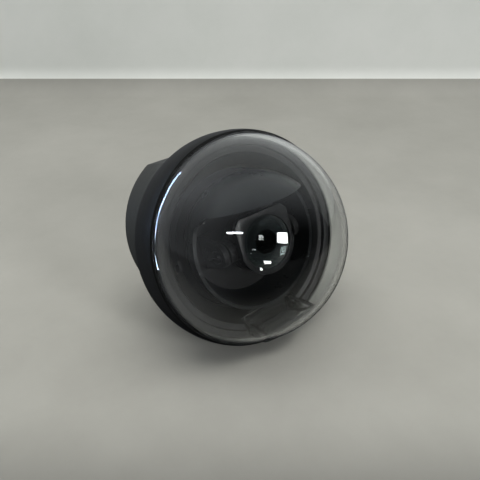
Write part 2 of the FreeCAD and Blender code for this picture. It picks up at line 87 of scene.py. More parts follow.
def add_node(
    tree: bpy.types.NodeTree,
    kind: str,
    settings: dict | None = None,
    sockets: dict | None = None,
    links: dict | None = None,
) -> bpy.types.Node:
    """Adds one node with its settings, socket values and incoming links.

    Args:
        tree: the node tree to add to.
        kind: the node's type name.
        settings: attributes of the node itself.
        sockets: values for its input sockets, by name or index.
        links: output sockets that feed its inputs, by name or index.

    Returns:
        The new node.
    """
    node = tree.nodes.new(kind)
    for name, value in (settings or {}).items():
        setattr(node, name, value)
    for key, value in (sockets or {}).items():
        node.inputs[key].default_value = value
    for key, output in (links or {}).items():
        tree.links.new(output, node.inputs[key])
    return node


@dataclass(frozen=True)
class Finish:
    """A surface: what it is made of, how it was made, and how that shows."""

    name: str
    base: str
    variation: str
    roughness: float
    roughness_spread: float
    grain_mm: float
    bump: float
    ior: float = 1.5
    metallic: float = 0.0
    transmission: float = 0.0
    coat: float = 0.0
    coat_roughness: float = 0.1
    mottle_mm: float = 14.0
    wear: float = 0.0
    coat_tint: str = "#FFFFFF"
    gloss: float = 0.5

    def material(self) -> bpy.types.Material:
        """Builds the node material, once per finish."""
        known = bpy.data.materials.get(self.name)
        if known is not None and known.get("built"):
            return known
        mat = bpy.data.materials.new(self.name)
        mat["built"] = True
        mat.use_nodes = True
        tree = mat.node_tree
        tree.nodes.clear()
        place = add_node(tree, "ShaderNodeTexCoord").outputs["Object"]
        cells_per_m = MM_PER_M / self.mottle_mm
        mottle = add_node(
            tree,
            "ShaderNodeTexNoise",
            sockets={"Scale": cells_per_m, "Detail": 5.0, "Roughness": 0.6},
            links={"Vector": place},
        ).outputs["Fac"]
        colour = add_node(tree, "ShaderNodeValToRGB", links={"Fac": mottle})
        colour.color_ramp.elements[0].position = 0.35
        colour.color_ramp.elements[0].color = linear(self.base)
        colour.color_ramp.elements[1].position = 0.7
        colour.color_ramp.elements[1].color = linear(self.variation)
        tint = colour.outputs["Color"]
        if self.wear > 0:
            edge = add_node(tree, "ShaderNodeNewGeometry").outputs["Pointiness"]
            rub = add_node(
                tree,
                "ShaderNodeMapRange",
                sockets={"From Min": WORN_EDGE[0], "From Max": WORN_EDGE[1], "To Max": self.wear},
                links={"Value": edge},
            ).outputs["Result"]
            tint = add_node(
                tree,
                "ShaderNodeMix",
                settings={"data_type": "RGBA"},
                sockets={"B": linear(WEAR_COLOUR)},
                links={"Factor": rub, "A": tint},
            ).outputs["Result"]
        spread = add_node(
            tree,
            "ShaderNodeMapRange",
            sockets={
                "From Min": 0.3,
                "From Max": 0.75,
                "To Min": max(0.0, self.roughness - self.roughness_spread),
                "To Max": self.roughness + self.roughness_spread,
            },
            links={"Value": mottle},
        ).outputs["Result"]
        shader = add_node(
            tree,
            "ShaderNodeBsdfPrincipled",
            sockets={
                "Metallic": self.metallic,
                "Specular IOR Level": self.gloss,
                "Transmission Weight": self.transmission,
                "Coat Weight": self.coat,
                "Coat Roughness": self.coat_roughness,
                "Coat Tint": linear(self.coat_tint),
            },
            links={"Base Color": tint, "Roughness": spread},
        )
        if self.metallic == 0.0:
            shader.inputs["IOR"].default_value = self.ior
        if self.bump > 0:
            grain = add_node(
                tree,
                "ShaderNodeTexNoise",
                sockets={"Scale": MM_PER_M / self.grain_mm, "Detail": 3.0, "Roughness": 0.55},
                links={"Vector": place},
            ).outputs["Fac"]
            relief = add_node(
                tree,
                "ShaderNodeBump",
                sockets={"Strength": self.bump, "Distance": self.grain_mm * BUMP_DEPTH * MM},
                links={"Height": grain},
            )
            tree.links.new(relief.outputs["Normal"], shader.inputs["Normal"])
        add_node(tree, "ShaderNodeOutputMaterial", links={"Surface": shader.outputs["BSDF"]})
        return mat


# Spark-eroded moulded polycarbonate: a fine even grain that spreads highlights into a satin sheen.
SATIN_POLYCARBONATE = Finish(
    "moulded_satin_polycarbonate", "#0F100F", "#141514", 0.45, 0.05, 0.5, 0.25, ior=1.5, wear=0.15, gloss=0.22
)
# The rear can: the same plastic with a coarser grain, matter and a little greyer.
MATT_POLYCARBONATE = Finish(
    "moulded_matt_polycarbonate", "#2B2C27", "#33342F", 0.55, 0.06, 0.6, 0.5, ior=1.58, wear=0.25
)
# The trim ring: the same plastic again, with a finer grain and smaller mottling.
TRIM_POLYCARBONATE = Finish(
    "moulded_trim_polycarbonate", "#101111", "#151616", 0.42, 0.05, 0.45, 0.15,
    ior=1.5, mottle_mm=9.0, gloss=0.34
)
# Polished moulded ABS liner with a faint orange peel.
LINER_ABS = Finish(
    "polished_black_abs", "#0E1011", "#141718", 0.3, 0.04, 1.6, 0.08, ior=1.52, gloss=0.42
)
# Glass-filled nylon: dull, faintly streaked.
FILLED_NYLON = Finish("glass_filled_nylon", "#0B0B0B", "#121212", 0.6, 0.08, 0.8, 0.5, ior=1.5, gloss=0.25)
# Black anodised aluminium: soft metallic darkness.
ANODISED = Finish("black_anodised_aluminium", "#2A2B2D", "#333436", 0.38, 0.06, 0.3, 0.2, metallic=1.0)
# Fine matte ABS of the lens unit's front plate.
MODULE_ABS = Finish("fine_matte_abs", "#101112", "#161718", 0.42, 0.05, 0.35, 0.2, ior=1.5, gloss=0.3)
# Nitrile rubber: dull black with a dusty bloom.
NITRILE = Finish("nitrile_rubber", "#141414", "#232322", 0.75, 0.1, 0.6, 0.4, ior=1.52)
# Zinc-plated steel: bluish grey, slightly cloudy.
ZINC_STEEL = Finish(
    "zinc_plated_steel", "#8E9194", "#A9ABAC", 0.32, 0.1, 0.9, 0.15, metallic=1.0, mottle_mm=3.0
)
# Blackened steel: dark, slightly oily.
BLACK_STEEL = Finish(
    "black_oxide_steel", "#1C1C1D", "#262627", 0.4, 0.08, 0.7, 0.2, metallic=1.0, mottle_mm=3.0
)
# Hard drawn spring wire, bright.
SPRING_WIRE = Finish(
    "drawn_spring_wire", "#B4B5B6", "#C6C7C8", 0.2, 0.05, 0.4, 0.1, metallic=1.0, mottle_mm=2.0
)
# Powder-coated steel plate: pebbled black.
POWDER_COAT = Finish("powder_coated_steel", "#151616", "#1D1E1E", 0.5, 0.08, 0.9, 0.6, ior=1.5)
# Epoxy solder mask on a circuit board.
SOLDER_MASK = Finish(
    "green_solder_mask", "#0C3B22", "#125232", 0.28, 0.08, 1.2, 0.15, ior=1.55, mottle_mm=4.0
)
# Epoxy chip package.
CHIP_EPOXY = Finish("moulded_chip_epoxy", "#1B1B1C", "#262627", 0.6, 0.05, 0.3, 0.4)
# Silicone gap pad, soft blue-grey.
SILICONE = Finish("silicone_gap_pad", "#7F93A8", "#8FA2B4", 0.7, 0.05, 0.5, 0.3, ior=1.41)
# Extruded aluminium heat spreader with fine draw lines.
EXTRUDED_ALUMINIUM = Finish("extruded_aluminium", "#B9BBBD", "#C8CACB", 0.35, 0.08, 0.7, 0.3, metallic=1.0)
# Gold flash over nickel contacts.
GOLD_FLASH = Finish("gold_flashed_contacts", "#C9A24A", "#DBB761", 0.25, 0.05, 0.4, 0.1, metallic=1.0)
# Acetal resin: waxy dark plastic of washers and rings.
ACETAL = Finish("acetal_resin", "#202122", "#2A2B2C", 0.4, 0.05, 0.6, 0.15, ior=1.48)
# Natural nylon sockets and button.
NATURAL_NYLON = Finish("natural_nylon", "#CFC9B8", "#DAD5C6", 0.45, 0.06, 0.6, 0.2, ior=1.53)
# Cover glass over the image sensor: nearly black with a violet sheen.
SENSOR_COVER = Finish(
    "sensor_cover_glass", "#0B0D14", "#1A1424", 0.08, 0.02, 1.0, 0.0, ior=1.52, coat=1.0, coat_tint="#8A6BD8"
)


@dataclass(frozen=True)
class ClearPolycarbonate:
    """Injection-moulded clear polycarbonate: colourless, with a trace of dust."""

    name: str = "clear_moulded_polycarbonate"
    tint: str = "#F6F8F8"
    ior: float = 1.585
    gloss: float = 0.16  # weaker than the bare plastic's, to keep mirror images faint
    dust_cells_per_m: float = 260.0
    speck_edge: Point = (0.04, 0.07)  # where a speck starts to fade and where it ends, in cells
    dust_roughness: float = 0.15

    def material(self) -> bpy.types.Material:
        """Builds the clear material, with roughness that rises on dust specks."""
        mat = bpy.data.materials.get(self.name) or bpy.data.materials.new(self.name)
        mat.use_nodes = True
        tree = mat.node_tree
        tree.nodes.clear()
        place = add_node(tree, "ShaderNodeTexCoord").outputs["Object"]
        specks = add_node(
            tree,
            "ShaderNodeTexVoronoi",
            sockets={"Scale": self.dust_cells_per_m, "Randomness": 1.0},
            links={"Vector": place},
        ).outputs["Distance"]
        dust = add_node(
            tree,
            "ShaderNodeMapRange",
            sockets={
                "From Min": self.speck_edge[0],
                "From Max": self.speck_edge[1],
                "To Min": self.dust_roughness,
                "To Max": 0.0,
            },
            links={"Value": specks},
        ).outputs["Result"]
        shader = add_node(
            tree,
            "ShaderNodeBsdfPrincipled",
            sockets={
                "Base Color": linear(self.tint),
                "IOR": self.ior,
                "Specular IOR Level": self.gloss,
                "Transmission Weight": 1.0,
            },
            links={"Roughness": dust},
        )
        add_node(tree, "ShaderNodeOutputMaterial", links={"Surface": shader.outputs["BSDF"]})
        return mat


@dataclass(frozen=True)
class CoatedLensGlass:
    """Optical glass that mirrors very little, so that it looks dark."""

    name: str = "coated_lens_glass"
    tint: str = "#C9D6D4"
    ior: float = 1.52
    gloss: float = 0.01
    haze_cells_per_m: float = 180.0
    roughness: Point = (0.005, 0.03)

    def material(self) -> bpy.types.Material:
        """Builds the lens glass, with a faint haze."""
        mat = bpy.data.materials.get(self.name) or bpy.data.materials.new(self.name)
        mat.use_nodes = True
        tree = mat.node_tree
        tree.nodes.clear()
        place = add_node(tree, "ShaderNodeTexCoord").outputs["Object"]
        haze = add_node(
            tree,
            "ShaderNodeTexNoise",
            sockets={"Scale": self.haze_cells_per_m, "Detail": 3.0},
            links={"Vector": place},
        ).outputs["Fac"]
        rough = add_node(
            tree,
            "ShaderNodeMapRange",
            sockets={"To Min": self.roughness[0], "To Max": self.roughness[1]},
            links={"Value": haze},
        ).outputs["Result"]
        shader = add_node(
            tree,
            "ShaderNodeBsdfPrincipled",
            sockets={
                "Base Color": linear(self.tint),
                "IOR": self.ior,
                "Specular IOR Level": self.gloss,
                "Transmission Weight": 1.0,
            },
            links={"Roughness": rough},
        )
        add_node(tree, "ShaderNodeOutputMaterial", links={"Surface": shader.outputs["BSDF"]})
        return mat


# ------------------------------------------------------------------ mesh helpers
def arc(centre: Point, radius: float, start: float, end: float, steps: int) -> list[Point]:
    """Points of an arc in the (radius, height) plane.

    Args:
        centre: the arc's centre.
        radius: its radius.
        start: first angle in degrees, from the outward direction.
        end: last angle in degrees.
        steps: how many spans it has.

    Returns:
        The points, ends included.
    """
    angles = [math.radians(start + (end - start) * i / steps) for i in range(steps + 1)]
    return [(centre[0] + radius * math.cos(a), centre[1] + radius * math.sin(a)) for a in angles]


def rounded(corners: Sequence[tuple[float, float, float]], steps: int = 5) -> list[Point]:
    """Rounds the corners of a closed outline.

    Args:
        corners: (x, y, radius) of each corner, in order.
        steps: spans in each rounded corner.

    Returns:
        The outline's points.
    """
    out: list[Point] = []
    count = len(corners)
    for i, (x, y, radius) in enumerate(corners):
        here = Vector((x, y))
        before = Vector(corners[i - 1][:2]) - here
        after = Vector(corners[(i + 1) % count][:2]) - here
        if radius <= 0:
            out.append((x, y))
            continue
        half = before.angle(after) / 2
        reach = min(radius / math.tan(half), before.length * 0.49, after.length * 0.49)
        first = here + before.normalized() * reach
        last = here + after.normalized() * reach
        for k in range(steps + 1):
            f = k / steps
            point = first.lerp(here, f).lerp(here.lerp(last, f), f)
            out.append((point.x, point.y))
    return out


class MeshKit:
    """Builds meshes from outlines and keeps their shading clean."""

    @staticmethod
    def from_bmesh(name: str, made: bmesh.types.BMesh, smooth_deg: float = 30.0) -> bpy.types.Object:
        """Turns a bmesh into a linked object shaded smooth up to an edge angle."""
        bmesh.ops.recalc_face_normals(made, faces=made.faces)
        mesh = bpy.data.meshes.new(name)
        made.to_mesh(mesh)
        made.free()
        obj = bpy.data.objects.new(name, mesh)
        bpy.context.scene.collection.objects.link(obj)
        MeshKit.smooth(obj, smooth_deg)
        return obj

    @staticmethod
    def smooth(obj: bpy.types.Object, smooth_deg: float = 30.0) -> None:
        """Shades a mesh smooth, with sharp edges above an angle."""
        mesh = obj.data
        mesh.polygons.foreach_set("use_smooth", [True] * len(mesh.polygons))
        mesh.set_sharp_from_angle(angle=math.radians(smooth_deg))

    @staticmethod
    def lathe(
        name: str, outline: Sequence[Point], steps: int = 192, centre: Point = (0.0, 0.0)
    ) -> bpy.types.Object:
        """Turns a closed (radius, height) outline in millimetres about the dome's axis.

        Args:
            name: the piece's name.
            outline: closed outline; a point on the axis has radius 0.
            steps: spans round the axis.
            centre: where the axis stands, in millimetres.

        Returns:
            The new object.
        """
        made = bmesh.new()
        rings = []
        for radius, height in outline:
            count = 1 if radius < 1e-6 else steps
            ring = []
            for k in range(count):
                angle = 2 * math.pi * k / steps
                spot = (centre[0] + radius * math.cos(angle), centre[1] + radius * math.sin(angle), height)
                ring.append(made.verts.new(Vector(spot) * MM))
            rings.append(ring)
        for i, low in enumerate(rings):
            high = rings[(i + 1) % len(rings)]
            if len(low) == 1 and len(high) == 1:
                continue
            for k in range(steps):
                n = (k + 1) % steps
                corners = [low[k % len(low)], low[n % len(low)], high[n % len(high)], high[k % len(high)]]
                unique = list(dict.fromkeys(corners))
                if len(unique) > 2:
                    made.faces.new(unique)
        return MeshKit.from_bmesh(name, made)

    @staticmethod
    def prism(
        name: str, outline: Sequence[Point], low: float, high: float, along: str = "Z"
    ) -> bpy.types.Object:
        """Extrudes a closed outline in millimetres.

        Args:
            name: the piece's name.
            outline: points in the plane across the direction: (x, y) for Z, (y, z) for X.
            low: where it starts.
            high: where it ends.
            along: "Z" or "X".

        Returns:
            The new object.
        """
        made = bmesh.new()
        layers = []
        for level in (low, high):
            spots = [(u, v, level) if along == "Z" else (level, u, v) for u, v in outline]
            layers.append([made.verts.new(Vector(s) * MM) for s in spots])
        made.faces.new(layers[0])
        made.faces.new(list(reversed(layers[1])))
        count = len(outline)
        for k in range(count):
            n = (k + 1) % count
            made.faces.new([layers[0][k], layers[1][k], layers[1][n], layers[0][n]])
        return MeshKit.from_bmesh(name, made)

    @staticmethod
    def combine(target: bpy.types.Object, tool: bpy.types.Object, operation: str) -> None:
        """Applies a boolean of tool on target, then deletes tool.

        The result can come back nearly empty when faces almost coincide, so the tool is nudged by a few
        thousandths of a millimetre and tried again.

        Args:
            target: the mesh that changes.
            tool: the other mesh.
            operation: DIFFERENCE or UNION.
        """
        spare = target.data.copy()
        for attempt in range(5):
            step = target.modifiers.new("cut", "BOOLEAN")
            step.operation = operation
            step.solver = "EXACT"
            step.object = tool
            MeshKit.bake(target)
            if len(target.data.polygons) > len(spare.polygons) // 3:
                break
            target.data = spare.copy()
            tool.data.transform(Matrix.Translation(Vector((3e-6, -2e-6, 1e-6)) * (attempt + 1)))
        else:
            raise RuntimeError(f"no clean cut of {target.name} by {tool.name}")
        bpy.data.meshes.remove(spare)
        bpy.data.objects.remove(tool)

    @staticmethod
    def bake(obj: bpy.types.Object) -> None:
        """Applies every modifier on an object."""
        graph = bpy.context.evaluated_depsgraph_get()
        old = obj.data
        obj.data = bpy.data.meshes.new_from_object(obj.evaluated_get(graph))
        obj.modifiers.clear()
        bpy.data.meshes.remove(old)

    @staticmethod
    def bevel(obj: bpy.types.Object, width_mm: float, angle_deg: float = 40.0, segments: int = 3) -> None:
        """Rounds the sharp edges of a mesh and bakes the result."""
        step = obj.modifiers.new("edge", "BEVEL")
        step.width = width_mm * MM
        step.segments = segments
        step.limit_method = "ANGLE"
        step.angle_limit = math.radians(angle_deg)
        step.use_clamp_overlap = True
        MeshKit.bake(obj)
        MeshKit.smooth(obj, 35.0)

    @staticmethod
    def sphere_normals(obj: bpy.types.Object, centre: Vector, radii: Sequence[float]) -> None:
        """Gives faces that lie on a sphere its exact normals, so that reflections stay clean.

        Args:
            obj: the mesh.
            centre: the sphere's centre in metres.
            radii: signed radii in metres; negative for a surface that faces the centre.
        """
        mesh = obj.data
        normals = [Vector(n.vector) for n in mesh.corner_normals]
        for face in mesh.polygons:
            for radius in radii:
                corners = [mesh.vertices[v].co - centre for v in face.vertices]
                if all(abs(c.length - abs(radius)) < 2e-6 for c in corners):
                    sign = 1.0 if radius > 0 else -1.0
                    for loop, corner in zip(face.loop_indices, corners):
                        normals[loop] = corner.normalized() * sign
        mesh.normals_split_custom_set(normals)


def install(
    obj: bpy.types.Object, body: Body, slot: Slot, material: bpy.types.Material, *nodes: str
) -> bpy.types.Object:
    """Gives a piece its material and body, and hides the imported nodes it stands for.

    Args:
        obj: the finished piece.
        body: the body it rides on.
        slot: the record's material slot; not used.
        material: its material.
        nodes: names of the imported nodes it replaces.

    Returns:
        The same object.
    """
    obj.data.materials.clear()
    obj.data.materials.append(material)
    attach(obj, body.value)
    if nodes:
        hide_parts(*nodes)
    log.info("%s: %d faces on %s", obj.name, len(obj.data.polygons), body.value)
    return obj


def dress(nodes: Sequence[str], material: bpy.types.Material) -> None:
    """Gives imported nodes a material, keeping their meshes."""
    for name in nodes:
        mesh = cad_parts[name].data
        if not mesh.materials:
            mesh.materials.append(material)
        for i in range(len(mesh.materials)):
            mesh.materials[i] = material
        log.info("%s: packed node dressed in %s", name, material.name)


def size_mm(node: str) -> tuple[Vector, Vector]:
    """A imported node's lowest and highest corners in millimetres."""
    low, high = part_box(node)
    return low / MM, high / MM


# ------------------------------------------------------------------ sub-assemblies
@dataclass
class ClearDome:
    """The moulded dome with its skirt and the boxy notch for the latch.  Sizes in millimetres."""

    sphere_z: float = 42.0
    radius: float = 50.0
    wall: float = 2.1
    rim_z: float = 52.65
    skirt_radius: float = 48.85
    notch_half: float = 12.8
    notch_wall: float = 2.0
    notch_low_y: float = 37.2
    notch_high_y: float = 39.8
    notch_roof: float = 65.5
    notch_reach: float = 70.0  # past the outside of the dome
    nub_radius: float = 1.5
    nub_offset: float = 0.5
    nub_rise: float = 2.2
    bead_radius: float = 0.4
    edge_round: float = 0.3

    def _solid(
        self, radius: float, skirt: float, bottom: float, name: str, bead: bool = False
    ) -> bpy.types.Object:
        """A spherical cap standing on a round skirt, with or without the bead that meets the band."""
        join_z = math.sqrt(max(radius**2 - skirt**2, 0.0))
        start = math.degrees(math.atan2(join_z, skirt))
        cap = arc((0.0, self.sphere_z), radius, start, 90.0, 72)
        outline = [(0.0, bottom), (skirt, bottom)]
        if bead:
            centre = (self.skirt_radius - 0.12, self.rim_z + 0.05)
            outline += [(skirt, self.rim_z - 0.6), *arc(centre, self.bead_radius, -60, 75, 8)]
            cap = [point for point in cap if point[1] > self.rim_z + 0.45]
        outline += cap[:-1]
        outline.append((0.0, self.sphere_z + radius))
        return MeshKit.lathe(name, outline, 256)

    def _notch(self, grow: float, z_low: float, corner: float) -> bpy.types.Object:
        """The notch's space, grown by a wall, with rounded corners."""
        low_y = -self.notch_low_y + grow
        high_y = -self.notch_high_y + grow
        roof = self.notch_roof + grow
        outside = -self.notch_reach
        outline = rounded([(low_y, z_low, 0), (high_y, roof, corner), (outside, roof, 0), (outside, z_low, 0)])
        half = self.notch_half + grow
        return MeshKit.prism("notch_tool", outline, -half, half, "X")

    def build(self) -> None:
        """Builds the dome with exact sphere normals."""
        skirt_z = size_mm("dome_cover")[0].z
        outer = self._solid(self.radius, self.skirt_radius, skirt_z, "dome_cover_clear", bead=True)
        inner_r = self.radius - self.wall
        inner = self._solid(inner_r, self.skirt_radius - self.wall, skirt_z - 1.0, "dome_inside")
        MeshKit.combine(outer, self._notch(0.0, skirt_z - 1.0, 0.8), "DIFFERENCE")
        MeshKit.combine(inner, self._notch(self.notch_wall, skirt_z - 2.0, 1.2), "DIFFERENCE")
        MeshKit.combine(outer, inner, "DIFFERENCE")
        for side in (-1, 1):
            x = side * (self.notch_half + self.nub_offset)
            foot, top = self.rim_z - 3, self.rim_z + self.nub_rise
            profile = [
                (0, foot),
                (self.nub_radius, foot),
                (self.nub_radius, self.rim_z + 1.6),
                (self.nub_radius * 0.7, self.rim_z + 2.1),
                (0, top),
            ]
            nub = MeshKit.lathe("nub", profile, 32, (x, -self.notch_low_y + 0.4))
            MeshKit.combine(outer, nub, "UNION")
        MeshKit.bevel(outer, self.edge_round, 35.0)
        centre = Vector((0, 0, self.sphere_z)) * MM
        MeshKit.sphere_normals(outer, centre, [self.radius * MM, -inner_r * MM])
        install(outer, Body.DOME, Slot.DOME, ClearPolycarbonate().material(), "dome_cover")
        outer.visible_shadow = False


@dataclass
class Housing:
    """The band round the dome, the rear can and what fastens them.  Sizes in millimetres."""

    band_bore: float = 49.2
    ledge_top: float = 45.3
    plate_r: float = 31.5
    swell_z: float = 42.5
    swell_half: float = 10.4
    swell_depth: float = 1.25
    swell_power: float = 2.4
    window_half: float = 10.6
    window_low: float = 47.8
    window_y: float = 46.2
    ear_outer: float = 12.5
    shelf_half: float = 15.6

    def _band(self) -> None:
        """The band: one swelling curve outside, with softened lips."""
        low, high = size_mm("housing_band")
        outer_r = high.x
        height = high.z - low.z
        outline: list[Point] = [(self.plate_r, low.z), (48.7, low.z)]
        steps = 28
        for k in range(steps + 1):
            z = low.z + 0.45 + (height - 1.1) * k / steps
            drop = (z - self.swell_z) / self.swell_half
            outline.append((outer_r - self.swell_depth * abs(drop) ** self.swell_power, z))
        outline += [(49.62, high.z - 0.3), (49.5, high.z - 0.05), (self.band_bore + 0.12, high.z)]
        outline += [(self.band_bore, high.z - 0.15), (self.band_bore, self.ledge_top), (46.5, self.ledge_top)]
        outline += [(46.5, 43.5), (48.0, 42.5), (48.0, 34.3), (self.plate_r, 34.3)]
        band = MeshKit.lathe("housing_band_shell", outline, 256)
        half, y = self.window_half, self.window_y
        opening = [(-half, -60), (half, -60), (half, -y), (-half, -y)]
        tool = MeshKit.prism("window_tool", opening, self.window_low, 60)
        MeshKit.combine(band, tool, "DIFFERENCE")
        floor_outline = [(-half, -48.95), (half, -48.95), (half, -44), (-half, -44)]
        pocket = MeshKit.prism("pocket", floor_outline, self.ledge_top, 49.0)
        MeshKit.combine(band, pocket, "DIFFERENCE")
        for x0, x1 in ((-self.ear_outer, -half), (half, self.ear_outer)):
            ear = MeshKit.prism("ear", [(x0, -49.2), (x1, -49.2), (x1, -44.7), (x0, -44.7)], 44.8, 49.5)
            MeshKit.combine(band, ear, "UNION")
        wide = self.shelf_half
        plank = [(-wide, -47.6), (wide, -47.6), (wide, -35.0), (-wide, -35.0)]
        shelf = MeshKit.prism("shelf", plank, 43.5, self.ledge_top)
        MeshKit.combine(band, shelf, "UNION")
        MeshKit.smooth(band, 32.0)
        install(band, Body.HOUSING, Slot.HOUSING, SATIN_POLYCARBONATE.material(), "housing_band")

    def build(self) -> None:
        """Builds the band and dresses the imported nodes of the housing."""
        self._band()
        dress(["rear_housing"], MATT_POLYCARBONATE.material())
        dress(["dome_latch"], SATIN_POLYCARBONATE.material())
        dress(["chassis_deck"], FILLED_NYLON.material())
        dress(["mounting_plate"], POWDER_COAT.material())
        dress(["bayonet_studs", "lock_screw", "board_screws", "latch_pin"], ZINC_STEEL.material())
        dress(["housing_screws", "trim_screws"], BLACK_STEEL.material())
        dress(["latch_spring"], SPRING_WIRE.material())
        dress(["cable_seal", "dome_gasket"], NITRILE.material())


@dataclass
class Electronics:
    """Boards and what stands on them inside the rear can."""

    def build(self) -> None:
        """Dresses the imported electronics."""
        dress(["main_board", "sensor_board"], SOLDER_MASK.material())
        dress(["processor", "reset_switch", "network_jack", "memory_card"], CHIP_EPOXY.material())
        dress(["thermal_pad"], SILICONE.material())
        dress(["heat_spreader"], EXTRUDED_ALUMINIUM.material())
        dress(["jack_contacts"], GOLD_FLASH.material())
        dress(["card_slot", "sensor_screws", "lens_stop_ring"], ZINC_STEEL.material())
        dress(["link_socket", "reset_button"], NATURAL_NYLON.material())


@dataclass
class TrimRing:
    """The stepped and grooved ring inside the dome.  Sizes in millimetres."""

    outer_r: float = 46.4
    throat_r: float = 33.6
    groove_out: float = 43.1
    groove_in: float = 40.2
    well_x: float = 37.3
    well_r: float = 2.1
    seat_z: float = 39.8
    boss_r: float = 3.5
    boss_low: float = 37.0
    boss_high: float = 44.4
    latch_room: tuple[float, float] = (15.6, 34.8)  # half width, and distance from the axis where it starts

    def build(self) -> None:
        """Builds the ring with softened steps and its screw wells."""
        low, high = size_mm("trim_ring")
        top = high.z
        corners = [
            (self.outer_r, 46.5, 0), (self.outer_r, top - 0.1, 0.5), (self.groove_out, top - 0.5, 0.4),
            (self.groove_out, top - 2.4, 0.2), (self.groove_in, top - 2.9, 0.2),
            (self.groove_in, top - 1.2, 0.5),
            (self.throat_r + 0.3, 42.2, 0.8), (self.throat_r, low.z, 0), (35.0, low.z, 0), (35.0, 41.0, 0),
            (40.6, 47.0, 0), (44.8, 49.0, 0), (44.8, 46.5, 0),
        ]
        ring = MeshKit.lathe("trim_ring_stepped", rounded(corners, 6), 256)
        half, y = self.latch_room
        cut = MeshKit.prism("latch_room", [(-half, -60), (half, -60), (half, -y), (-half, -y)], 40, 60)
        MeshKit.combine(ring, cut, "DIFFERENCE")
        for side in (-1, 1):
            centre = (side * self.well_x, 0.0)
            r, z, top_z = self.boss_r, self.boss_low, self.boss_high
            boss = MeshKit.lathe("boss", [(0, z), (r, z), (r, top_z), (0, top_z)], 48, centre)
            MeshKit.combine(ring, boss, "UNION")
            r, z = self.well_r, self.seat_z
            hole = MeshKit.lathe("well", [(0, z), (r, z), (r, 60), (0, 60)], 48, centre)
            MeshKit.combine(ring, hole, "DIFFERENCE")
        MeshKit.smooth(ring, 32.0)
        install(ring, Body.HOUSING, Slot.TRIM, TRIM_POLYCARBONATE.material(), "trim_ring")


@dataclass
class PanStage:
    """Turntable, yoke and the liner ball that hides them.  Sizes in millimetres."""

    ball_r: float = 32.0
    ball_z: float = 55.0
    wall: float = 1.6
    cut_z: float = 55.5
    cut_y: float = 19.5

    def build(self) -> None:
        """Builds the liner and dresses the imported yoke."""
        bottom = size_mm("liner_hood")[0].z
        low_angle = math.degrees(math.asin((bottom - self.ball_z) / self.ball_r))
        outside = arc((0, self.ball_z), self.ball_r, low_angle, 90, 96)
        inner_r = self.ball_r - self.wall
        inner_low = math.degrees(math.asin((bottom - self.ball_z) / inner_r))
        inside = arc((0, self.ball_z), inner_r, 90, inner_low, 96)
        outside[-1] = (0.0, self.ball_z + self.ball_r)
        inside[0] = (0.0, self.ball_z + inner_r)
        liner = MeshKit.lathe("liner_hood_ball", outside + inside, 224)
        y, z = self.cut_y, self.cut_z
        outline = rounded([(-60, z, 0), (y - 3.5, z, 4.0), (y, z + 6.0, 5.0), (y, 120, 0), (-60, 120, 0)], 10)
        tool = MeshKit.prism("liner_opening", outline, -50, 50, "X")
        MeshKit.combine(liner, tool, "DIFFERENCE")
        MeshKit.smooth(liner, 30.0)
        centre = Vector((0, 0, self.ball_z)) * MM
        MeshKit.sphere_normals(liner, centre, [self.ball_r * MM, -inner_r * MM])
        install(liner, Body.PAN, Slot.LINER, LINER_ABS.material(), "liner_hood")
        dress(["pan_turntable", "yoke_arm_left", "yoke_arm_right"], FILLED_NYLON.material())
        dress(["pan_retainer", "friction_washers"], ACETAL.material())


@dataclass
class CameraModule:
    """Bracket, barrel, front plate and glass.  Sizes in millimetres."""

    face_r: float = 14.5
    half_width: float = 14.0
    corner_cut: float = 3.0
    bore_r: float = 10.0
    seat_r: float = 12.0
    glass_r: float = 11.95
    crown: float = 3.0

    def _faceplate(self) -> None:
        """The front plate: straight top with cut corners, round below."""
        low, high = size_mm("module_faceplate")
        half = self.half_width
        cut = self.corner_cut
        top = high.y
        arc_start = math.degrees(math.asin(-2.0 / self.face_r))
        bottom = arc((0, 0), self.face_r, arc_start, -180 - arc_start, 64)
        corners = [(x, y, 0) for x, y in bottom if abs(x) <= half + 0.3]
        corners = [
            (-half, -1.0, 0),
            (-half, top - 2.9, 1.0),
            (-half + cut, top, 1.0),
            (half - cut, top, 1.0),
            (half, top - 2.9, 1.0),
            (half, -1.0, 0),
            *corners,
        ]
        plate = MeshKit.prism("module_faceplate_front", rounded(corners, 5), low.z, high.z)
        below, step, above = low.z - 1, high.z - 1, high.z + 1
        profile = [
            (0, below),
            (self.bore_r, below),
            (self.bore_r, step),
            (self.seat_r, step),
            (self.seat_r, above),
            (0, above),
        ]
        bore = MeshKit.lathe("bore", profile, 128)
        MeshKit.combine(plate, bore, "DIFFERENCE")
        MeshKit.bevel(plate, 0.35, 45.0)
        install(plate, Body.MODULE, Slot.MODULE, MODULE_ABS.material(), "module_faceplate")

    def _front_glass(self) -> None:
        """The domed front glass."""
        low, high = size_mm("lens_front_glass")
        radius = (self.glass_r**2 + self.crown**2) / (2 * self.crown)
        centre_z = high.z - radius
        edge = math.degrees(math.acos(self.glass_r / radius))
        crown = arc((0, centre_z), radius, edge, 90, 40)
        crown[-1] = (0.0, high.z)
        glass = MeshKit.lathe("lens_front_glass_domed", [(0, low.z), (self.glass_r, low.z), *crown], 160)
        install(glass, Body.MODULE, Slot.GLASS, CoatedLensGlass().material(), "lens_front_glass")
        glass.visible_shadow = False

    def build(self) -> None:
        """Builds the front and dresses the rest of the lens unit."""
        self._faceplate()
        self._front_glass()
        dress(["lens_group", "infrared_filter"], CoatedLensGlass().material())
        dress(["module_bracket"], FILLED_NYLON.material())
        dress(["tilt_pins"], BLACK_STEEL.material())
        dress(["lens_barrel", "focus_ring", "aperture_ring"], ANODISED.material())
        dress(["sensor_spacer"], ACETAL.material())
        dress(["image_sensor"], SENSOR_COVER.material())


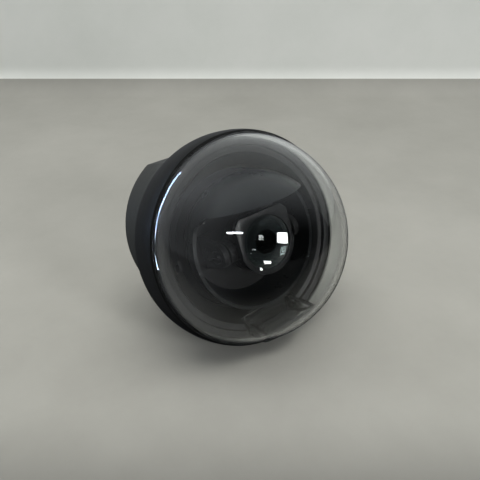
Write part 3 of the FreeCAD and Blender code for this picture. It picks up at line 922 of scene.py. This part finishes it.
# ------------------------------------------------------------------ stage
@dataclass
class Viewpoint:
    """Where the picture is taken from, told by how the camera lies on the counter."""

    dome_tilt: float = 31.0  # degrees between the line of sight and the dome's axis
    dome_heading: float = 10.1  # degrees below level that the axis leans to the right
    latch_turn: float = 60.0  # degrees of the latch round the dome
    look_down: float = 32.5  # degrees below the horizon
    centre_mm: tuple[float, float, float] = (0.82, -1.16, 249.2)
    lens_mm: float = 39.0
    sphere_z: float = 42.0

    def axes(self) -> Matrix:
        """Rows: the view's right, down and forward directions in the object's frame."""
        tilt, heading, turn = (math.radians(v) for v in (self.dome_tilt, self.dome_heading, self.latch_turn))
        axis = Vector((math.sin(tilt) * math.cos(heading), math.sin(tilt) * math.sin(heading), -math.cos(tilt)))
        swing = Vector((math.cos(tilt) * math.cos(heading), math.cos(tilt) * math.sin(heading), math.sin(tilt)))
        across = Vector((-math.sin(heading), math.cos(heading), 0))
        latch = math.cos(turn) * swing + math.sin(turn) * across
        side = axis.cross(latch)
        return Matrix([[side[i], -latch[i], axis[i]] for i in range(3)])

    def floor_normal(self) -> Vector:
        """The counter's upward direction in the object's frame."""
        drop = math.radians(self.look_down)
        return self.axes().transposed() @ Vector((0, -math.cos(drop), -math.sin(drop)))

    def forward(self) -> Vector:
        """The level direction away from the viewer, in the object's frame."""
        drop = math.radians(self.look_down)
        return self.axes().transposed() @ Vector((0, -math.sin(drop), math.cos(drop)))

    def position(self) -> Vector:
        """The camera's place in metres."""
        to_centre = self.axes().transposed() @ Vector(self.centre_mm)
        return (Vector((0, 0, self.sphere_z)) - to_centre) * MM

    def make_camera(self) -> None:
        """Adds the camera."""
        data = bpy.data.cameras.new("view")
        data.lens = self.lens_mm
        data.sensor_width = 36.0
        data.clip_start = 0.01
        data.clip_end = 20.0
        cam = bpy.data.objects.new("view", data)
        bpy.context.scene.collection.objects.link(cam)
        rows = self.axes()
        right, down, ahead = rows[0], rows[1], rows[2]
        turn = Matrix((right, -down, -ahead)).transposed()
        cam.matrix_world = Matrix.Translation(self.position()) @ turn.to_4x4()
        bpy.context.scene.camera = cam


@dataclass(frozen=True)
class Lamp:
    """An area light that faces the dome's centre."""

    name: str
    direction: tuple[float, float, float]  # from the dome's centre: right, down and away from the viewer
    size: Point  # width and height in metres
    radiance: float
    colour: str = "#FFFFFF"
    roll: float = 0.0  # degrees about its own axis
    distance: float = 1.5  # metres
    seen: bool = True  # whether glossy and clear surfaces show it


LAMPS = (
    Lamp("window", (0.652, 0.006, -0.758), (0.28, 0.25), 26.0),
    Lamp("tube", (-0.12, -0.075, -0.99), (0.42, 0.05), 24.0, "#F4F9FF"),
    Lamp("lamp_low", (0.42, 0.41, -0.81), (0.19, 0.07), 18.0, roll=4.0),
    Lamp("lamp_small", (0.315, 0.52, -0.794), (0.06, 0.05), 14.0),
    Lamp("pane_high", (-0.788, -0.583, 0.197), (0.06, 0.56), 16.0, "#BFD9FF", 22.3),
    Lamp("pane_mid", (-0.95, -0.27, 0.158), (0.06, 0.56), 22.0, "#BFD9FF", 1.2),
    Lamp("pane_low", (-0.968, 0.129, 0.214), (0.06, 0.7), 26.0, "#CFE2FF", -14.3),
    Lamp("fill", (-0.1, -0.9, -0.45), (1.8, 1.4), 2.75, "#FFFDF8", distance=1.6, seen=False),
)


@dataclass
class Stage:
    """Pale floor, backdrop and soft lights round the object.  Sizes in metres."""

    view: Viewpoint = field(default_factory=Viewpoint)
    wall_distance: float = 0.40
    floor_half: float = 1.6
    wall_height: float = 1.2
    cove: float = 0.03
    # The next six fields place the painted shade that darkens the floor near the viewer and off to the right,
    # and give its dark grey.
    near_edge: float = 0.058
    near_fade: float = 0.09
    right_edge: float = 0.3
    right_fade: float = 0.12
    right_slant: float = 0.39
    painted_shade_colour: str = "#2E2E2C"
    room_glow: tuple[float, float, float] = (0.55, 0.30, 0.012)  # from above, from the left, and everywhere
    glow_edge: Point = (0.0, 0.85)

    def _support(self) -> float:
        """How far the object reaches down along the floor's normal, in metres."""
        up = self.view.floor_normal()
        low = 1e9
        for name in ("housing_band", "rear_housing", "dome_latch"):
            low = min(low, min(up.dot(v.co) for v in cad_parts[name].data.vertices))
        return low

    def _fade(
        self, tree: bpy.types.NodeTree, place: bpy.types.NodeSocket, base: Vector
    ) -> bpy.types.NodeSocket:
        """How much painted shade a spot of the floor gets: the floor darkens near the viewer and off to the
        right, standing in for the light falling off there.
        """
        ahead = self.view.forward()
        side = ahead.cross(self.view.floor_normal()).normalized()
        parts = []
        edges = (
            (-ahead, self.near_edge, self.near_edge + self.near_fade),
            (side - ahead * self.right_slant, self.right_edge, self.right_edge + self.right_fade),
        )
        for axis, first, last in edges:
            along = add_node(
                tree, "ShaderNodeVectorMath", settings={"operation": "DOT_PRODUCT"}, sockets={1: axis},
                links={0: place},
            ).outputs["Value"]
            offset = axis.dot(base)
            parts.append(add_node(
                tree, "ShaderNodeMapRange", settings={"interpolation_type": "SMOOTHSTEP"},
                sockets={"From Min": first + offset, "From Max": last + offset}, links={"Value": along},
            ).outputs["Result"])
        return add_node(
            tree, "ShaderNodeMath", settings={"operation": "MAXIMUM"}, links={0: parts[0], 1: parts[1]}
        ).outputs["Value"]

    def _material(self, name: str, dark: str, pale: str, base: Vector | None = None) -> bpy.types.Material:
        """Pale paint that can't be seen from behind, so it never hides the object; given a base, painted shade
        darkens it near the viewer and off to the right.
        """
        mat = bpy.data.materials.new(name)
        mat.use_nodes = True
        tree = mat.node_tree
        tree.nodes.clear()
        place = add_node(tree, "ShaderNodeTexCoord").outputs["Object"]
        cloud = add_node(
            tree, "ShaderNodeTexNoise", sockets={"Scale": 9.0, "Detail": 6.0, "Roughness": 0.65},
            links={"Vector": place},
        ).outputs["Fac"]
        colour = add_node(tree, "ShaderNodeValToRGB", links={"Fac": cloud})
        colour.color_ramp.elements[0].position = 0.3
        colour.color_ramp.elements[0].color = linear(dark)
        colour.color_ramp.elements[1].position = 0.7
        colour.color_ramp.elements[1].color = linear(pale)
        tint = colour.outputs["Color"]
        # Painted shade: the floor paint is mixed towards a dark grey near the viewer and off to the right.
        if base is not None:
            tint = add_node(
                tree, "ShaderNodeMix", settings={"data_type": "RGBA"}, sockets={"B": linear(self.painted_shade_colour)},
                links={"Factor": self._fade(tree, place, base), "A": tint},
            ).outputs["Result"]
        paint = add_node(
            tree, "ShaderNodeBsdfPrincipled", sockets={"Roughness": 0.8}, links={"Base Color": tint}
        )
        clear = add_node(tree, "ShaderNodeBsdfTransparent")
        behind = add_node(tree, "ShaderNodeNewGeometry").outputs["Backfacing"]
        both = add_node(
            tree, "ShaderNodeMixShader", links={0: behind, 1: paint.outputs["BSDF"], 2: clear.outputs["BSDF"]}
        )
        add_node(tree, "ShaderNodeOutputMaterial", links={"Surface": both.outputs["Shader"]})
        return mat

    def build_floor(self) -> None:
        """A floor that runs up into a backdrop through a soft cove."""
        up = self.view.floor_normal()
        ahead = self.view.forward()
        side = ahead.cross(up).normalized()
        base = up * self._support()
        base += ahead * ahead.dot(Vector((0, 0, self.view.sphere_z)) * MM)
        reach, radius, wall = self.wall_distance, self.cove, self.wall_height
        profile = [(-self.floor_half, 0.0), (reach - radius, 0.0)]
        profile += [(reach - radius + radius * math.sin(a), radius - radius * math.cos(a))
                    for a in (math.radians(9 * k) for k in range(1, 10))]
        profile += [(reach, radius), (reach, wall)]
        made = bmesh.new()
        rows = []
        for along, high in profile:
            rows.append([made.verts.new(base + ahead * along + up * high + side * s * self.floor_half)
                         for s in (-1, 1)])
        for first, second in zip(rows, rows[1:]):
            made.faces.new([first[0], first[1], second[1], second[0]])
        mesh = bpy.data.meshes.new("pale_floor")
        made.to_mesh(mesh)
        made.free()
        if mesh.polygons[0].normal.dot(up) < 0:
            mesh.flip_normals()
        mesh.polygons.foreach_set("use_smooth", [True] * len(mesh.polygons))
        floor = bpy.data.objects.new("pale_floor", mesh)
        bpy.context.scene.collection.objects.link(floor)
        # The floor paint carries painted shade near the viewer and off to the right; the wall paint is evenly
        # pale.
        mesh.materials.append(self._material("pale_floor_paint", "#9F9E98", "#AAA9A3", base))
        mesh.materials.append(self._material("pale_wall_paint", "#E6E9E4", "#EDEFEB"))
        for face in mesh.polygons:
            if (face.center - base).dot(up) > radius * 0.6:
                face.material_index = 1
        floor.visible_glossy = False  # glossy surfaces mirror the room's glow and lamps only

    def _lamp(self, lamp: Lamp) -> None:
        """Adds one area light."""
        data = bpy.data.lights.new(lamp.name, "AREA")
        data.shape = "RECTANGLE"
        data.size, data.size_y = lamp.size
        data.energy = lamp.radiance * lamp.size[0] * lamp.size[1] * math.pi
        data.color = linear(lamp.colour)[:3]
        obj = bpy.data.objects.new(lamp.name, data)
        bpy.context.scene.collection.objects.link(obj)
        to_object = self.view.axes().transposed()
        back = (to_object @ Vector(lamp.direction)).normalized()
        level = (to_object @ Vector((0, -1, 0))).cross(back).normalized()
        turn = Matrix((level, back.cross(level), back)).transposed().to_4x4()
        place = Vector((0, 0, self.view.sphere_z)) * MM + back * lamp.distance
        obj.matrix_world = Matrix.Translation(place) @ turn @ Matrix.Rotation(math.radians(lamp.roll), 4, "Z")
        obj.visible_glossy = lamp.seen
        obj.visible_transmission = lamp.seen

    def build_lights(self) -> None:
        """Adds the lamps and the room's glow."""
        for lamp in LAMPS:
            self._lamp(lamp)
        self._world()

    def _world(self) -> None:
        """A room that glows from above and from the left and is dark elsewhere."""
        rows = self.view.axes()
        world = bpy.data.worlds.new("room")
        bpy.context.scene.world = world
        world.use_nodes = True
        tree = world.node_tree
        tree.nodes.clear()
        sky = add_node(tree, "ShaderNodeTexCoord").outputs["Generated"]
        above, left, everywhere = self.room_glow
        lobes = ((rows[2] * 0.1 - rows[1], above), (-rows[0] - rows[2] * 0.3, left))
        total = None
        for axis, strength in lobes:
            facing = add_node(
                tree, "ShaderNodeVectorMath", settings={"operation": "DOT_PRODUCT"},
                sockets={1: axis.normalized()}, links={0: sky},
            ).outputs["Value"]
            part = add_node(
                tree, "ShaderNodeMapRange", settings={"interpolation_type": "SMOOTHSTEP"},
                sockets={
                    "From Min": self.glow_edge[0],
                    "From Max": self.glow_edge[1],
                    "To Min": 0.0,
                    "To Max": strength,
                },
                links={"Value": facing},
            ).outputs["Result"]
            if total is None:
                total = part
                continue
            total = add_node(
                tree, "ShaderNodeMath", settings={"operation": "ADD"}, links={0: total, 1: part}
            ).outputs["Value"]
        lit = add_node(
            tree, "ShaderNodeMath", settings={"operation": "ADD"}, sockets={1: everywhere}, links={0: total}
        ).outputs["Value"]
        glow = add_node(
            tree, "ShaderNodeBackground", sockets={"Color": linear("#EEF2F6")}, links={"Strength": lit}
        )
        add_node(tree, "ShaderNodeOutputWorld", links={"Surface": glow.outputs["Background"]})

    def build(self) -> None:
        """Builds everything that isn't the object."""
        self.build_floor()
        self.build_lights()
        self.view.make_camera()
        bpy.context.scene.view_settings.view_transform = "Standard"
        bpy.context.scene.view_settings.look = "Medium High Contrast"


def main() -> None:
    """Builds the sub-assemblies in order and dresses the scene."""
    logging.basicConfig(level=logging.INFO, format="%(name)s: %(message)s")
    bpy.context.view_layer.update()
    makers: list[Callable[[], None]] = [
        Housing().build,
        Electronics().build,
        TrimRing().build,
        PanStage().build,
        CameraModule().build,
        ClearDome().build,
        Stage().build,
    ]
    for make in makers:
        make()


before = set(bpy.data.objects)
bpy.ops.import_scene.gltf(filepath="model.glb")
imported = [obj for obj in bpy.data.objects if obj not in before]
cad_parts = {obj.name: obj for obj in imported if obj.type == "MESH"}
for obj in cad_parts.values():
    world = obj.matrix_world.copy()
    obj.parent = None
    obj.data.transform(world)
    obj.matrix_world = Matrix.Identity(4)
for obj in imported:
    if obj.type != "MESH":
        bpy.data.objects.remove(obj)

if __name__ == "__main__":
    main()
